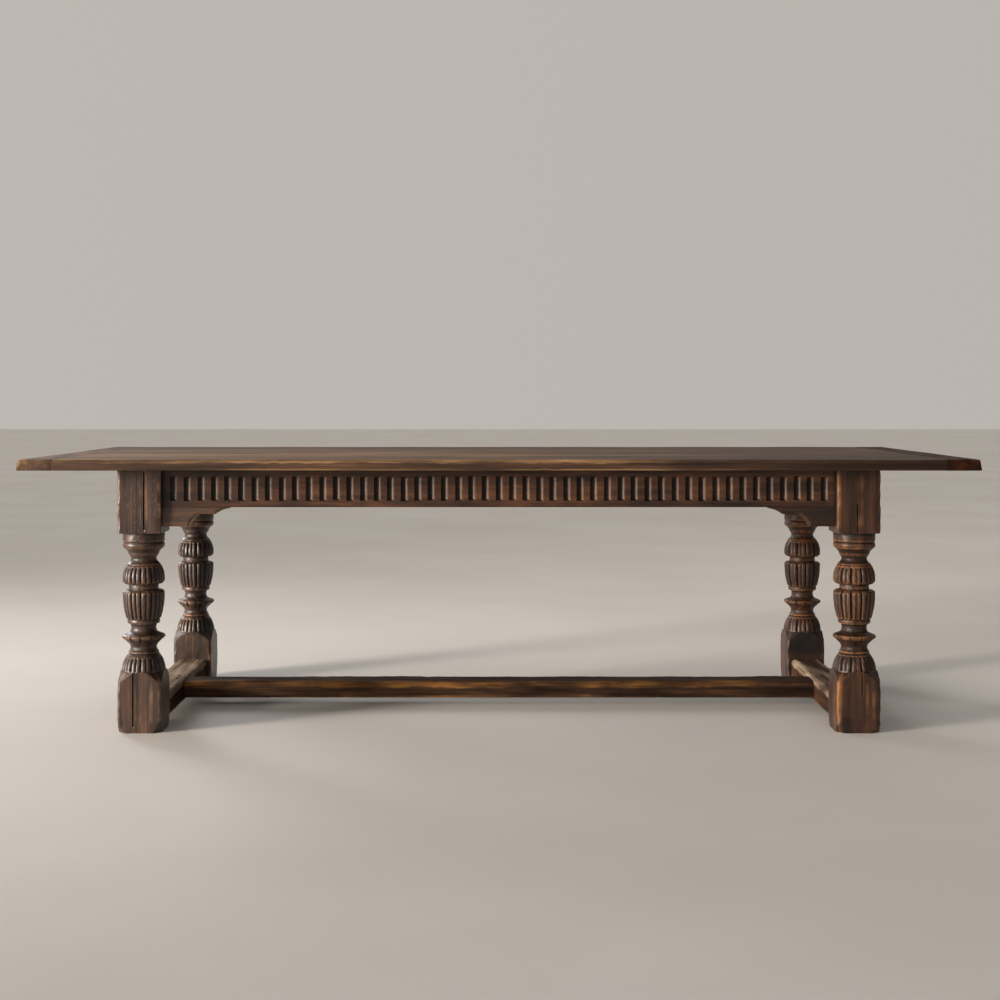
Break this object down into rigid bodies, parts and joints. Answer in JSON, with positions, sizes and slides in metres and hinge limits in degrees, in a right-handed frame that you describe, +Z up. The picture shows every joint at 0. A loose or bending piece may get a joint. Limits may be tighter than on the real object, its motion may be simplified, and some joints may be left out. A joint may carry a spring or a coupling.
{
  "type": "refectory table",
  "caption": "Long oak refectory table on turned cup-and-cover legs, with a fluted frieze, shaped brackets, a low H stretcher and a cleated plank top.",
  "frame": {"origin": "on the floor, under the middle of the top", "axes": "+X along the table's length to the right, +Y from the front to the rear, +Z up"},
  "size_m": [2.61, 1.067, 0.762],
  "materials": {
    "top_oak": "worn antique oak with a waxed, semi-gloss polish",
    "frame_oak": "dark antique oak, turned and carved, waxed",
    "inner_oak": "sawn oak, unpolished",
    "peg_oak": "riven oak pegs, waxed where they show"
  },
  "bodies": {
    "root": {"top_board_1": "top_oak", "top_board_2": "top_oak", "top_board_3": "top_oak", "top_board_4": "top_oak", "top_board_5": "top_oak", "cleat_left": "top_oak", "cleat_right": "top_oak", "leg_front_left": "frame_oak", "leg_front_right": "frame_oak", "leg_rear_left": "frame_oak", "leg_rear_right": "frame_oak", "rail_front": "frame_oak", "rail_rear": "frame_oak", "rail_left": "frame_oak", "rail_right": "frame_oak", "bracket_front_left": "frame_oak", "bracket_front_right": "frame_oak", "bracket_rear_left": "frame_oak", "bracket_rear_right": "frame_oak", "bracket_left_front": "frame_oak", "bracket_left_rear": "frame_oak", "bracket_right_front": "frame_oak", "bracket_right_rear": "frame_oak", "end_stretcher_left": "frame_oak", "end_stretcher_right": "frame_oak", "long_stretcher": "frame_oak", "cross_bearer_left": "inner_oak", "cross_bearer_right": "inner_oak", "top_buttons": "inner_oak", "rail_pegs": "peg_oak", "foot_pegs": "peg_oak", "stretcher_pegs": "peg_oak", "cleat_pegs": "peg_oak"}
  },
  "joints": []
}
